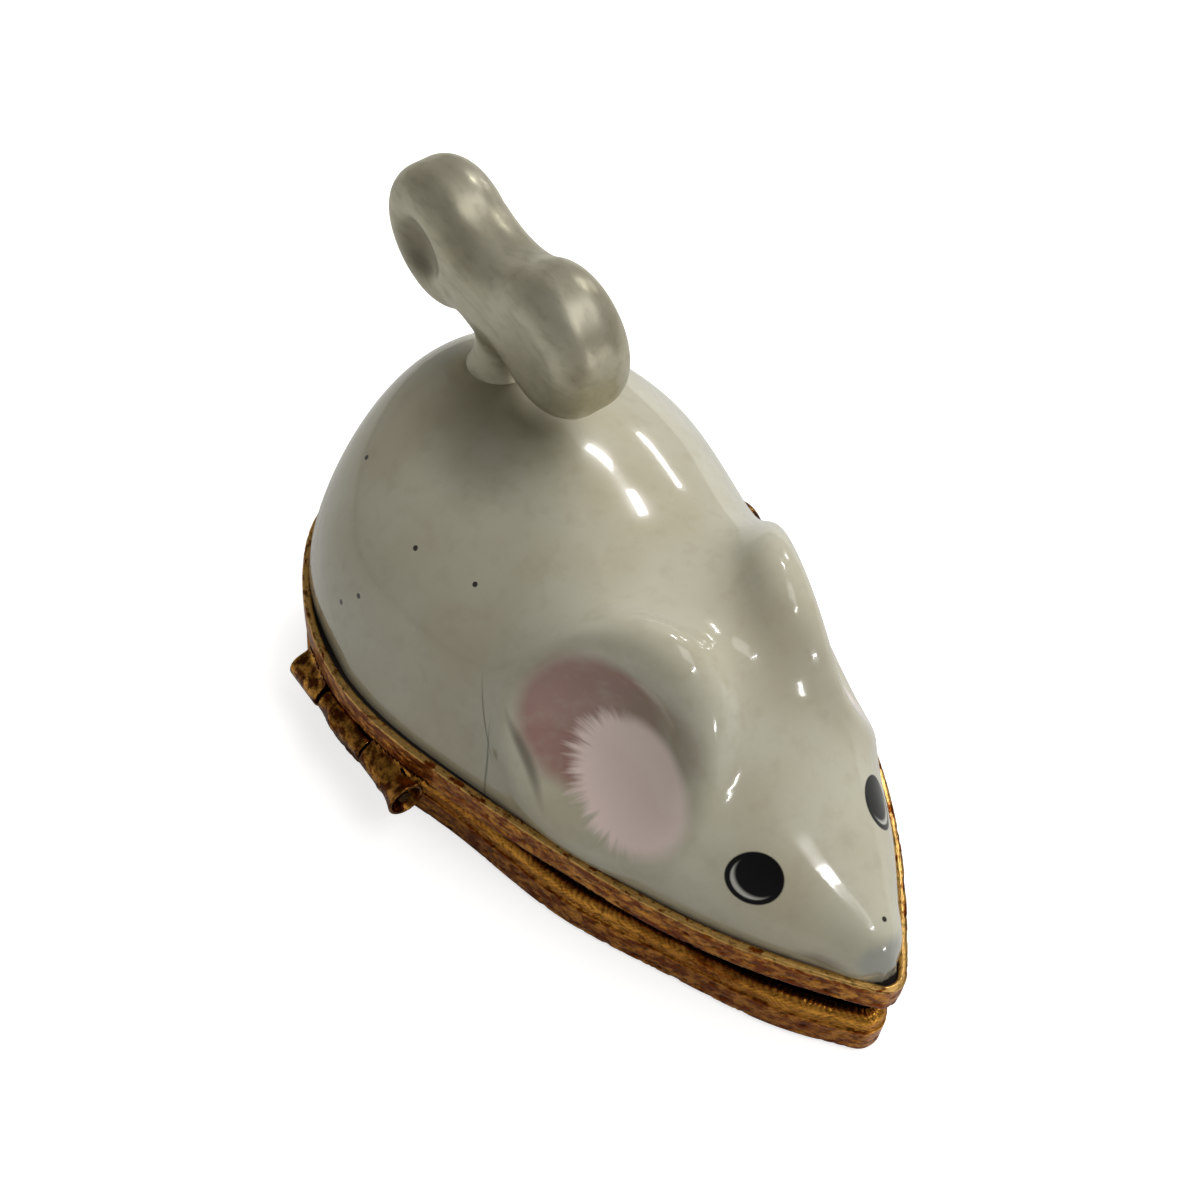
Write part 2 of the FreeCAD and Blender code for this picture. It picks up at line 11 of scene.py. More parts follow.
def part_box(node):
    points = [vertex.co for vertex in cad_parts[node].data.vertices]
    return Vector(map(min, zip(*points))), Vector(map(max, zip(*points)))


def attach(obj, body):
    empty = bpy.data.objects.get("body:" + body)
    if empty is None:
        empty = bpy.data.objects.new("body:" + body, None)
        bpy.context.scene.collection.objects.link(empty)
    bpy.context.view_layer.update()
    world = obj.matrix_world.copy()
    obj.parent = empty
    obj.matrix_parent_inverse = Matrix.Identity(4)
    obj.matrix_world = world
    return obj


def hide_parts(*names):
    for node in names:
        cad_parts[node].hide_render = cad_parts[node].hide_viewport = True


# Mouse trinket box: glazed porcelain mouse and key on a lid, brass bezels, hinge on the -X flank
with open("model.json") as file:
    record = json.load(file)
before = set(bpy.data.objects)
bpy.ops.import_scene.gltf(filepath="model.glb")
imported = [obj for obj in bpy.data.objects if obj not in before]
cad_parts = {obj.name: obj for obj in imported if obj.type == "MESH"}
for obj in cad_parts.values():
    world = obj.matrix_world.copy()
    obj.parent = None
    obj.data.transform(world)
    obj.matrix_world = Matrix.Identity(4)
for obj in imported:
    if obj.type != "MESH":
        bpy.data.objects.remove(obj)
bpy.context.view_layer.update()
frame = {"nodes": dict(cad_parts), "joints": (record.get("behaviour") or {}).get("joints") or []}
mm = 0.001
nodes = frame["nodes"]


# helpers that every piece uses
def smoothLine(stations, values):
    # natural cubic spline through given stations, returned as a function
    x, y = np.array(stations, float), np.array(values, float)
    h = np.diff(x)
    a = np.eye(len(x))
    b = np.zeros(len(x))
    for i in range(1, len(x) - 1):
        a[i, i - 1:i + 2] = h[i - 1], 2 * (h[i - 1] + h[i]), h[i]
        b[i] = 6 * ((y[i + 1] - y[i]) / h[i] - (y[i] - y[i - 1]) / h[i - 1])
    m = np.linalg.solve(a, b)
    t = np.linspace(x[0], x[-1], 1200)
    k = np.clip(np.searchsorted(x, t, side="right") - 1, 0, len(h) - 1)
    u, v, w = t - x[k], x[k + 1] - t, h[k]
    curve = (m[k] * v**3 + m[k + 1] * u**3) / (6 * w)
    curve += (y[k] / w - m[k] * w / 6) * v
    curve += (y[k + 1] / w - m[k + 1] * w / 6) * u
    return lambda q: np.interp(q, t, curve)


def blendMin(a, b, k):
    # union of two fields with a soft fillet of about k millimetres
    h = np.clip(0.5 + 0.5 * (b - a) / k, 0, 1)
    return b + (a - b) * h - k * h * (1 - h)


def blendMax(a, b, k):
    return -blendMin(-a, -b, k)


def distance(field, x, y, z, step=0.02):
    # turns any inside-outside field into millimetres near its surface
    f = field(x, y, z)
    gx = field(x + step, y, z) - f
    gy = field(x, y + step, z) - f
    gz = field(x, y, z + step) - f
    return np.clip(f * step / np.sqrt(gx**2 + gy**2 + gz**2 + 1e-12), -8, 8)


def meshField(name, field, low, high, step, polish=3):
    # meshes the zero surface of a field, then walks every point onto it
    axes = [np.arange(a, b + step, step) for a, b in zip(low, high)]
    grid = openvdb.FloatGrid(10.0)
    x, y, z = axes[0][:, None, None], axes[1][None, :, None], axes[2][None, None, :]
    values = np.broadcast_to(field(x, y, z), [len(a) for a in axes])
    grid.copyFromArray(np.ascontiguousarray(values, dtype=np.float32))
    points, quads = grid.convertToQuads(isovalue=0.0)
    p = np.array(points, float) * step + np.array([a[0] for a in axes])
    d = step * 0.1
    for _ in range(polish):
        f = field(p[:, 0], p[:, 1], p[:, 2])
        g = np.stack([field(*(p + o).T) - field(*(p - o).T) for o in np.eye(3) * d], 1) / (2 * d)
        p -= (g.T * np.clip(f / ((g**2).sum(1) + 1e-9), -step / 2, step / 2)).T
    return addMesh(name, p * mm, np.array(quads)[:, ::-1])


def addMesh(name, points, faces, smooth=True):
    mesh = bpy.data.meshes.new(name)
    mesh.from_pydata(points.tolist() if hasattr(points, "tolist") else points, [],
                     faces.tolist() if hasattr(faces, "tolist") else faces)
    mesh.validate()
    mesh.update()
    if smooth:
        mesh.shade_smooth()
    piece = bpy.data.objects.new(name, mesh)
    bpy.context.scene.collection.objects.link(piece)
    return piece


def ripple(p, size, seed):
    # smooth random unevenness of a hand-made surface, from a few dozen crossed waves
    rng = np.random.default_rng(seed)
    total = np.zeros(len(p))
    for _ in range(24):
        way = rng.normal(size=3)
        way *= rng.uniform(0.6, 1.8) * 2 * math.pi / size / np.linalg.norm(way)
        total += np.sin(p @ way + rng.uniform(0, 2 * math.pi))
    return total / 24**0.5


def fit(piece, body, slotName, material, *replaced):
    piece.data.materials.append(material)
    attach(piece, body)
    if replaced:
        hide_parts(*replaced)
    print("made", piece.name, len(piece.data.vertices))
    return piece


# colours and nodes
def hexColour(text, alpha=1.0):
    parts = [int(text[i:i + 2], 16) / 255 for i in (1, 3, 5)]
    return [c / 12.92 if c <= 0.04045 else ((c + 0.055) / 1.055) ** 2.4 for c in parts] + [alpha]


def add(tree, kind, settings=None, **links):
    # adds one node; settings go on properties or sockets, links join sockets by name
    node = tree.nodes.new(kind)
    for key, value in (settings or {}).items():
        if hasattr(node, key):
            setattr(node, key, value)
        else:
            node.inputs[int(key) if key.isdigit() else key].default_value = value
    for key, source in links.items():
        name = key.replace("_", " ")
        tree.links.new(source, node.inputs[int(key[1:]) if key[0] == "i" and key[1:].isdigit() else name])
    return node


def newMaterial(name):
    material = bpy.data.materials.new(name)
    material.use_nodes = True
    tree = material.node_tree
    tree.nodes.clear()
    return material, tree


def finishMaterial(tree, shader):
    out = tree.nodes.new("ShaderNodeOutputMaterial")
    tree.links.new(shader.outputs[0], out.inputs["Surface"])


# mouse
mouse = {
    "stations": (-27.75, -27.25, -26.5, -24.5, -21.0, -17.0, -12.0, -7.0, -2.0, 4.0, 10.0, 16.0, 21.0,
                 24.5, 26.4, 27.2, 27.65),
    "halfWidth": (0.0, 1.6, 2.5, 3.8, 6.2, 8.3, 10.4, 12.1, 13.7, 15.4, 16.6, 16.7, 15.2, 12.6, 9.0,
                  5.6, 0.0),
    "crest": (9.7, 10.6, 11.5, 12.5, 14.0, 16.0, 18.7, 21.3, 22.3, 22.7, 23.7, 24.0, 24.0, 22.8, 19.8,
              15.5, 11.0),
    "crownPower": (2.11, 2.11, 2.11, 2.10, 2.08, 2.06, 2.07, 2.13, 2.20, 2.27, 2.10, 1.90, 1.75, 1.65, 1.55,
                   1.45, 1.4),
    "flankSwell": (0.023, 0.023, 0.024, 0.027, 0.03, 0.033, 0.035, 0.02, -0.005, -0.02, -0.01, 0.018, 0.01,
                   0, 0, 0, 0),
    "sidePower": 2.13,
    "middle": -0.05, "reach": 27.7,
    "side": 7.8,
    "wall": 1.8,
    "step": 0.3,
    "length": 57.6, "noseOffset": 0.5, "flankOffset": 0.5,
    "footGap": 0.35, "flareHeight": 2.6, "flareEnd": (12.0, 19.0), "noseFade": (-27.6, 3.0),
}


def midline(y):
    # seen from above nose and flanks lie a little towards the hinge
    share = y / mouse["length"]
    nose = np.maximum(0, (share + 0.10) / -0.40) ** 2
    return -mouse["noseOffset"] * nose - mouse["flankOffset"] * np.exp(-((share - 0.08) / 0.22) ** 2)


def turnAlong(y):
    # the ends of the body close like the ends of an ellipse
    return np.arccos(np.clip((mouse["middle"] - y) / mouse["reach"], -1, 1))


def bodyShape():
    turns = turnAlong(np.array(mouse["stations"]))
    lines = [smoothLine(turns, mouse[k]) for k in ("halfWidth", "crest", "crownPower", "flankSwell")]
    side = mouse["side"]
    hingeSide, claspSide = bandSide(lidOutline, -1), bandSide(lidOutline, 1)

    def field(x, y, z):
        t = turnAlong(y)
        w, crest, p, b = [line(t) for line in lines]
        m = midline(y)
        u = np.maximum((z - side) / (crest - side), 0)
        swell = np.maximum(w + m, 0) * (1 + b * np.sin(math.pi * np.minimum(u, 1))) + 0.05
        # the foot spreads to the inside of the lid band, except where the tail lies
        rise = np.maximum(z - side, 0) / mouse["flareHeight"]
        inside = np.where(x < m, m - hingeSide(y), claspSide(y) - m) - bezel["wall"] - mouse["footGap"]
        near, far = mouse["flareEnd"]
        tip, fade = mouse["noseFade"]
        along = np.clip((far - y) / (far - near), 0, 1) * np.clip((y - tip) / fade, 0, 1)
        spread = np.clip(inside - (w + m), 0, 2) * along
        swell = swell + spread * np.exp(-rise**2)
        return (np.abs(x - m) / swell) ** mouse["sidePower"] + u**p - 1

    return lambda x, y, z: np.maximum(distance(field, x, y, z), np.abs(y - mouse["middle"]) - mouse["reach"])


ear = {
    "middle": (-8.49, -7.12, 17.04), "leftMiddle": (7.9, -6.5, 17.4),
    "facing": (-0.823, -0.38, 0.422),
    "turn": -11.2,
    "ring": (6.1, 7.6), "ringPlace": (0.0, 0.9),
    "thickness": 2.6,
    "dishPlace": (-0.2, -1.2), "dish": (5.9, 6.2), "dishDepth": 2.1, "dishLift": 1.1,
    "blendOut": 5.0, "blendDish": 1.8,
}


def earFrame(side):
    facing = Vector(ear["facing"]).normalized()
    across = Vector((0, 0, 1)).cross(facing).normalized()
    across.rotate(Matrix.Rotation(math.radians(ear["turn"]), 3, facing))
    axes = np.array([across, facing.cross(across), facing])
    if side < 0:
        return axes, np.array(ear["middle"])
    axes[:, 0] *= -1
    return axes, np.array(ear["leftMiddle"])


def onEar(side, x, y, z):
    axes, middle = earFrame(side)
    return [a[0] * (x - middle[0]) + a[1] * (y - middle[1]) + a[2] * (z - middle[2]) for a in axes]


def earLens(side):
    wide, long = ear["ring"]

    def field(x, y, z):
        u, v, w = onEar(side, x, y, z)
        u, v = u - ear["ringPlace"][0], v - ear["ringPlace"][1]
        return (u / wide) ** 2 + (v / long) ** 2 + (w / ear["thickness"]) ** 2 - 1

    return lambda x, y, z: distance(field, x, y, z)


def earDish(side):
    (mouth, long), depth = ear["dish"], ear["dishDepth"]
    ball = (mouth**2 + depth**2) / (2 * depth)
    lift = ear["dishLift"] - depth + ball

    def field(x, y, z):
        u, v, w = onEar(side, x, y, z)
        u, v = u - ear["dishPlace"][0], v - ear["dishPlace"][1]
        return (u**2 + (v * mouth / long) ** 2 + (w - lift) ** 2) / ball**2 - 1

    return lambda x, y, z: distance(field, x, y, z)


tail = {
    "route": ((-6.6, 25.2, 8.3), (-11.0, 23.0, 8.3), (-13.7, 19.8, 8.2), (-15.2, 16.2, 8.1),
              (-16.0, 12.0, 8.0)),
    "radius": (1.1, 0.45),
    "pieces": 28,
    "blend": 0.6,
}


def tailField(x, y, z):
    # a thin rope of short straight pieces along a smooth line
    knots = np.arange(len(tail["route"]))
    lines = [smoothLine(knots, [place[i] for place in tail["route"]]) for i in range(3)]
    shares = np.linspace(0, 1, tail["pieces"] + 1)
    places = np.stack([line(shares * knots[-1]) for line in lines], 1)
    best = np.full(np.broadcast(x, y, z).shape, 9.0)
    for share, a, b in zip(shares, places, places[1:]):
        d = b - a
        t = np.clip(((x - a[0]) * d[0] + (y - a[1]) * d[1] + (z - a[2]) * d[2]) / (d @ d), 0, 1)
        r = tail["radius"][0] + (tail["radius"][1] - tail["radius"][0]) * share
        best = np.minimum(best, np.sqrt((x - a[0] - t * d[0])**2 + (y - a[1] - t * d[1])**2
                                        + (z - a[2] - t * d[2])**2) - r)
    return best


def mouseShape():
    body = bodyShape()
    lenses = [earLens(side) for side in (-1, 1)]
    dishes = [earDish(side) for side in (-1, 1)]
    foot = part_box("lid_porcelain")[0].z / mm

    def field(x, y, z):
        d = body(x, y, z)
        skin = d
        for lens, dish in zip(lenses, dishes):
            d = blendMin(d, lens(x, y, z), ear["blendOut"])
            d = blendMax(d, -dish(x, y, z), ear["blendDish"])
        d = blendMin(d, tailField(x, y, z), tail["blend"])
        d = np.maximum(d, -(np.maximum(skin, d) + mouse["wall"]))
        return np.maximum(d, foot - z)

    return field


# key
key = {
    "middle": (0.17, 19.96, 31.26),
    "tilt": -1.6, "lean": -6.2,
    "length": 23.8, "lobe": 5.37, "waist": 6.7, "thickness": 5.9, "edge": 2.3,
    "dimple": (3.4, 1.1),
    "shank": 1.75, "shankFlare": 1.0, "flareFade": 1.1, "foot": 23.4, "sunk": 1.2,
    "blendDimple": 0.4, "blendShank": 1.8,
    "step": 0.22,
}


def keyField(x, y, z):
    lean = Matrix.Rotation(math.radians(key["lean"]), 3, "Y")
    tilt = Matrix.Rotation(math.radians(key["tilt"]), 3, "X")
    inv = np.array((lean @ tilt).transposed())
    dx, dy, dz = x - key["middle"][0], y - key["middle"][1], z - key["middle"][2]
    u, v, w = [r[0] * dx + r[1] * dy + r[2] * dz for r in inv]
    reach = key["length"] / 2 - key["lobe"]
    rise = math.sqrt((key["lobe"] + key["waist"])**2 - reach**2)
    lobes = np.sqrt((np.abs(v) - reach)**2 + w**2) - key["lobe"]
    bar = np.maximum(np.abs(v) - reach, key["waist"] - np.sqrt(v**2 + (np.abs(w) - rise)**2))
    touch = reach * key["waist"] / (key["lobe"] + key["waist"])
    outline = np.where(np.abs(v) < touch, np.where(np.abs(w) < rise, bar, 9.0), lobes)
    flat = np.abs(u) - key["thickness"] / 2
    e = key["edge"]
    a, b = outline + e, flat + e
    bow = np.minimum(np.maximum(a, b), 0) + np.sqrt(np.maximum(a, 0)**2 + np.maximum(b, 0)**2) - e
    ball, deep = key["dimple"]
    dimple = np.sqrt((np.abs(u) - key["thickness"] / 2 - ball + deep)**2 + (v - reach)**2 + w**2) - ball
    bow = blendMax(bow, -dimple, key["blendDimple"])
    foot = key["foot"]
    r = key["shank"] + key["shankFlare"] * np.exp(-np.maximum(z - foot, -0.2) / key["flareFade"])
    shank = np.maximum((np.sqrt(dx**2 + dy**2) - r) * 0.8, foot - key["sunk"] - z)
    shank = np.maximum(shank, z - key["middle"][2])
    return blendMin(bow, shank, key["blendShank"])


# bezels
bezel = {
    "steps": 1500,
    "wall": 0.6, "ledgeWidth": 1.5, "ledgeThick": 0.5, "lip": 0.12,
    "pitDepth": 0.07, "pitSize": 0.75, "pitStretch": 0.6,
    "fileDepth": 0.04, "fileSpacing": 0.45,
    "step": 0.15, "shoulderInset": 1.0, "shoulderRise": 1.3, "recess": 0.7, "bandTop": 2.6,
}


def outlineOf(node, height):
    # the node's outer outline at one height, found by rays towards the middle, with even steps
    mesh = nodes[node].data
    tree = BVHTree.FromPolygons([v.co for v in mesh.vertices], [list(p.vertices) for p in mesh.polygons])
    middle = Vector((0, 2 * mm, height * mm))
    points = []
    for turn in np.linspace(math.pi, 3 * math.pi, bezel["steps"], endpoint=False):
        way = Vector((math.sin(turn), -math.cos(turn), 0))
        hit = tree.ray_cast(middle + way * 0.05, -way)[0]
        points.append((hit.x / mm, hit.y / mm))
    p = np.array(points)
    for _ in range(2):
        p = (np.roll(p, 1, 0) + 2 * p + np.roll(p, -1, 0)) / 4
    run = np.concatenate([[0], np.cumsum(np.linalg.norm(np.diff(np.vstack([p, p[:1]]), axis=0), axis=1))])
    even = np.linspace(0, run[-1], bezel["steps"], endpoint=False)
    closed = np.vstack([p, p[:1]])
    p = np.stack([np.interp(even, run, closed[:, i]) for i in (0, 1)], 1)
    along = np.roll(p, -1, 0) - np.roll(p, 1, 0)
    along /= np.linalg.norm(along, axis=1)[:, None]
    out = np.stack([along[:, 1], -along[:, 0]], 1)
    bend = np.roll(out, -1, 0) - np.roll(out, 1, 0)
    chord = np.linalg.norm(np.roll(p, -1, 0) - np.roll(p, 1, 0), axis=1)
    radius = chord / (np.linalg.norm(bend, axis=1) + 1e-9)
    for _ in range(30):
        radius = (np.roll(radius, 1) + 2 * radius + np.roll(radius, -1)) / 4
    return p, out, radius, even


def bandSide(outline, side):
    # x of the band's outer face at any y, on the hinge side (-1) or the clasp side (1)
    p = outline[0][outline[0][:, 0] * side > 0]
    order = np.argsort(p[:, 1])
    return lambda y: np.interp(y, p[order, 1], p[order, 0])


def arcPoints(centre, radius, first, last, count):
    turns = np.radians(np.linspace(first, last, count))
    return [(centre[0] + radius * math.cos(t), centre[1] + radius * math.sin(t)) for t in turns]


def densify(profile, step):
    dense = []
    for a, b in zip(profile, profile[1:] + profile[:1]):
        n = max(1, int(math.dist(a, b) / step))
        dense += [(a[0] + (b[0] - a[0]) * i / n, a[1] + (b[1] - a[1]) * i / n) for i in range(n)]
    return dense


def setAttribute(piece, name, values, kind="FLOAT", field="value"):
    layer = piece.data.attributes.new(name, kind, "POINT")
    layer.data.foreach_set(field, values.astype(np.float32).ravel())


def sweepBezel(name, outline, profile, shoulder, seed):
    # profile points are (outwards, up); dents and file marks are cut into what faces outwards
    p, out, radius, run = outline
    dense = np.array(densify(profile, 0.11))
    inward = np.minimum(np.maximum(-dense[None, :, 0], 0), 0.9 * radius[:, None])
    offset = np.maximum(dense[None, :, 0], 0) - inward
    xy = p[:, None, :] + out[:, None, :] * offset[..., None]
    z = np.broadcast_to(dense[None, :, 1], offset.shape)
    points = np.concatenate([xy, z[..., None]], 2)
    flat = points.reshape(-1, 3)
    facing = (dense[:, 0] > -bezel["wall"] * 0.8) | ((dense[:, 1] < shoulder[1]) & (dense[:, 0] > -1.2))
    facing = np.broadcast_to(facing[None, :], offset.shape).reshape(-1)
    # unrolled place on the band: along, up and outwards, so dents can be stretched along it
    alongBand = np.stack([np.repeat(run, len(dense)), flat[:, 2], np.tile(dense[:, 0], len(run))], 1)
    stretched = alongBand * (bezel["pitStretch"], 1, 1)
    dent = np.clip(ripple(stretched, bezel["pitSize"], seed) - 0.5, 0, 1)
    dent += 0.5 * np.clip(ripple(stretched, bezel["pitSize"] * 0.5, seed + 1) - 0.6, 0, 1)
    slant = alongBand[:, 0] + 1.4 * alongBand[:, 1] + 0.25 * ripple(stretched, 2.0, seed + 2)
    marks = 0.5 + 0.5 * np.sin(2 * math.pi * slant / bezel["fileSpacing"])
    onShoulder = (flat[:, 2] > shoulder[0]) & (flat[:, 2] < shoulder[1])
    depth = facing * (dent * bezel["pitDepth"] + onShoulder * marks * bezel["fileDepth"])
    wave = facing * 0.03 * ripple(stretched, 5.0, seed + 3)
    sideways = np.repeat(out, len(dense), axis=0)
    flat[:, :2] -= sideways * (depth + np.maximum(wave, 0))[:, None]
    flat[:, 2] -= facing * onShoulder * marks * bezel["fileDepth"]
    count, ring = offset.shape
    i, j = np.meshgrid(np.arange(count), np.arange(ring), indexing="ij")
    a, b = i * ring + j, ((i + 1) % count) * ring + j
    c, d = ((i + 1) % count) * ring + (j + 1) % ring, i * ring + (j + 1) % ring
    piece = addMesh(name, flat * mm, np.stack([a, b, c, d], 2).reshape(-1, 4))
    # the recessed neck of the base band, which the material paints near black: patina and painted shade in
    # the gap under the lid band
    neckShadeAndPatina = alongBand[:, 2] < -0.92 * bezel["shoulderInset"]
    hollow = np.clip(facing * (dent * 0.8 + onShoulder * marks * 0.35) + 2 * neckShadeAndPatina, 0, 1)
    setAttribute(piece, "hollow", hollow)
    # the shoulder mask carries a painted highlight, weaker in the file marks
    setAttribute(piece, "shoulder", np.clip(onShoulder * facing * (1 - 0.8 * marks), 0, 1))
    top = dense[:, 1].max()
    # the rim mask marks the top edge that the material paints lighter: rubbed gilt and painted highlight
    rim = (alongBand[:, 2] > -1.1 * bezel["wall"]) & (alongBand[:, 1] > top - 0.2)
    setAttribute(piece, "rim", rim)
    setAttribute(piece, "unrolled", alongBand * mm, "FLOAT_VECTOR", "vector")
    return piece


def lidBezelProfile():
    low, high = [c.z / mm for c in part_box("lid_bezel")]
    wall, lip, ledge = bezel["wall"], bezel["lip"], bezel["ledgeThick"]
    return [(-wall - bezel["ledgeWidth"], low), (-0.12, low), (0, low + 0.12), (0, high - lip),
            *arcPoints((-lip, high - lip), lip, 10, 80, 3), (-wall + lip, high), (-wall, high - lip),
            (-wall, low + ledge), (-wall - bezel["ledgeWidth"], low + ledge)]


def baseBezelProfile():
    low, high = [c.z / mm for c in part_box("base_bezel")]
    top, step = bezel["bandTop"], bezel["step"]
    rise, inset = bezel["shoulderRise"], bezel["shoulderInset"]
    corner = inset - 2 * step
    neck = inset + bezel["recess"]
    return [(-bezel["wall"], low), (-0.15, low), (0, low + 0.15), (0, top - 0.08), (-0.05, top), (-step, top),
            (-step, top + rise - corner),
            *arcPoints((-step - corner, top + rise - corner), corner, 12, 90, 7),
            (-inset, top + rise), (-neck, top + rise), (-neck, high - 0.1), (-neck - 0.1, high),
            (-neck - bezel["wall"] + 0.1, high), (-neck - bezel["wall"], high - 0.1),
            (-neck - bezel["wall"], top), (-bezel["wall"], top)]


# hinge
hinge = {
    "radius": 1.15, "bore": 0.5, "voxel": 0.085, "edge": 0.16,
    "trumpet": 0.42, "trumpetLength": 1.7, "cup": 1.18, "cupDepth": 1.1,
    "swell": 0.15, "twist": 0.08, "web": 1.0,
    "leafHalf": 0.42, "leafDrop": 0.5, "leafEnd": -15.9,
}


def hingeAxis():
    place = frame["joints"][0]["pos_m"]
    return place[0] / mm, place[2] / mm


def barrelField(node, profile):
    # a turned barrel along Y whose radius follows profile(share, turn), with its bore
    x0, z0 = hingeAxis()
    low, high = [c.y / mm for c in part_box(node)]

    def field(x, y, z):
        r = np.sqrt((x - x0)**2 + (z - z0)**2)
        share = np.clip((y - low) / (high - low), 0, 1)
        wall = r - profile(share, np.arctan2(z - z0, x - x0))
        ends = np.abs(y - (low + high) / 2) - (high - low) / 2
        e = hinge["edge"]
        a, b = wall + e, ends + e
        return np.minimum(np.maximum(a, b), 0) + np.sqrt(np.maximum(a, 0)**2 + np.maximum(b, 0)**2) - e

    return field, x0, z0, low, high


def knuckle(name, node, profile, cupped=False, lug=True, leaf=False):
    barrel, x0, z0, low, high = barrelField(node, profile)
    bottom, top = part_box(node)
    band = bandSide(lidOutline, -1)
    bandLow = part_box("lid_bezel")[0].z / mm

    def field(x, y, z):
        d = barrel(x, y, z)
        if lug:
            # a web fills the corner between the barrel and the band above it
            inBand = np.maximum(band(y) - x, bandLow - z)
            web = np.maximum(blendMin(d, inBand, hinge["web"]), z - top.z / mm)
            d = np.maximum(np.maximum(web, 0.01 - inBand), np.abs(y - (low + high) / 2) - (high - low) / 2)
        if leaf:
            leafMiddle = (top.z + bottom.z) / 2 / mm - hinge["leafDrop"]
            arm = np.maximum(np.maximum(np.abs(z - leafMiddle) - hinge["leafHalf"],
                                        np.abs(y - (low + high) / 2) - (high - low) / 2 + 0.1),
                             np.maximum(x0 - x, x - hinge["leafEnd"]))
            d = blendMin(d, arm, 0.2)
        r = np.sqrt((x - x0)**2 + (z - z0)**2)
        hole = r - hinge["bore"]
        if cupped:
            deep = np.clip((low + hinge["cupDepth"] - y) / hinge["cupDepth"], 0, 1)
            hole = np.minimum(hole, r - hinge["bore"] - (hinge["cup"] - hinge["bore"]) * np.sqrt(deep))
        return blendMax(d, -hole, 0.1)

    lowCorner = (x0 - 1.9, low - 0.2, z0 - 1.9)
    highCorner = (-15.6 if leaf else x0 + 1.9, high + 0.2, top.z / mm + 0.4)
    return meshField(name, field, lowCorner, highCorner, hinge["voxel"])


def plainBarrel(share, turn):
    return hinge["radius"] + 0 * share


def carvedBarrel(share, turn):
    # like a knotted stem: two swellings with ridges that wind round them
    bumps = np.exp(-((share - 0.62) / 0.16) ** 2) + 0.5 * np.exp(-((share - 0.34) / 0.12) ** 2)
    outward = 0.5 - 0.5 * np.cos(turn)
    ridge = np.maximum(np.sin(3 * turn + 9 * share), 0)
    return hinge["radius"] - 0.12 + bumps * (hinge["swell"] * (0.6 + outward) + hinge["twist"] * ridge)


def trumpetBarrel(share, turn):
    flare = np.clip(1 - share * 4.9 / hinge["trumpetLength"], 0, 1)
    collar = 0.07 * np.exp(-((share - 0.45) / 0.06) ** 2)
    return hinge["radius"] - 0.08 + hinge["trumpet"] * flare**1.6 + collar


# camera, floor and light
view = {
    "place": (-57.60, -57.83, 114.22),
    "turn": 42.205, "fall": 49.922, "roll": -8.265,
    "focal": 1844.05, "frameWidth": 1200, "sensor": 36.0,
}


def makeCamera():
    camera = bpy.data.cameras.new("camera")
    camera.sensor_width = view["sensor"]
    camera.lens = view["focal"] / view["frameWidth"] * view["sensor"]
    camera.clip_start, camera.clip_end = 0.005, 5
    holder = bpy.data.objects.new("camera", camera)
    turn, fall = math.radians(view["turn"]), math.radians(view["fall"])
    forward = Vector((math.sin(turn) * math.cos(fall), math.cos(turn) * math.cos(fall), -math.sin(fall)))
    level = forward.cross(Vector((0, 0, 1))).normalized()
    roll = Matrix.Rotation(math.radians(view["roll"]), 3, forward)
    right, up = roll @ level, roll @ level.cross(forward)
    rotation = Matrix((right, up, -forward)).transposed().to_4x4()
    holder.matrix_world = Matrix.Translation(Vector(view["place"]) * mm) @ rotation
    bpy.context.scene.collection.objects.link(holder)
    bpy.context.scene.camera = holder


# lamps by direction seen from the object: turn 0 is the nose side, 90 the clasp side
# the narrow ones make the streaks
lamps = {
    "softSide": {"turn": 128, "rise": 42, "away": 0.6, "wide": 0.45, "high": 0.35, "watts": 2.2,
                 "glints": False},
    "softFront": {"turn": 25, "rise": 58, "away": 0.6, "wide": 0.4, "high": 0.4, "watts": 1.5,
                  "glints": False},
    "streakBack": {"turn": 119, "rise": 50, "away": 0.5, "wide": 0.06, "high": 0.03, "watts": 0.2},
    "streakSnout": {"turn": 10, "rise": 57, "away": 0.5, "wide": 0.12, "high": 0.013, "watts": 0.13},
    "lowRight": {"turn": 112, "rise": 24, "away": 0.5, "wide": 0.05, "high": 0.03, "watts": 0.07},
    "softTop": {"turn": 51, "rise": 70, "away": 0.6, "wide": 0.3, "high": 0.2, "watts": 0.3},
    "lowFront": {"turn": 12, "rise": 10, "away": 0.5, "wide": 0.1, "high": 0.03, "watts": 0.15},
}


def addLamp(name, place, target, settings):
    lamp = bpy.data.lights.new(name, "AREA")
    lamp.shape = "RECTANGLE"
    lamp.size, lamp.size_y = settings["wide"], settings["high"]
    lamp.energy = settings["watts"]
    holder = bpy.data.objects.new(name, lamp)
    holder.location = place
    holder.rotation_euler = (Vector(target) - place).to_track_quat("-Z", "Y").to_euler()
    holder.visible_glossy = settings.get("glints", True)
    holder.visible_camera = False
    bpy.context.scene.collection.objects.link(holder)


stage = {
    "floorHalf": 2.5, "floorDrop": 0.0001, "aim": (0, 0, 0.012),
    "floor": "#C8C8C4", "room": "#EDEBE6",
}


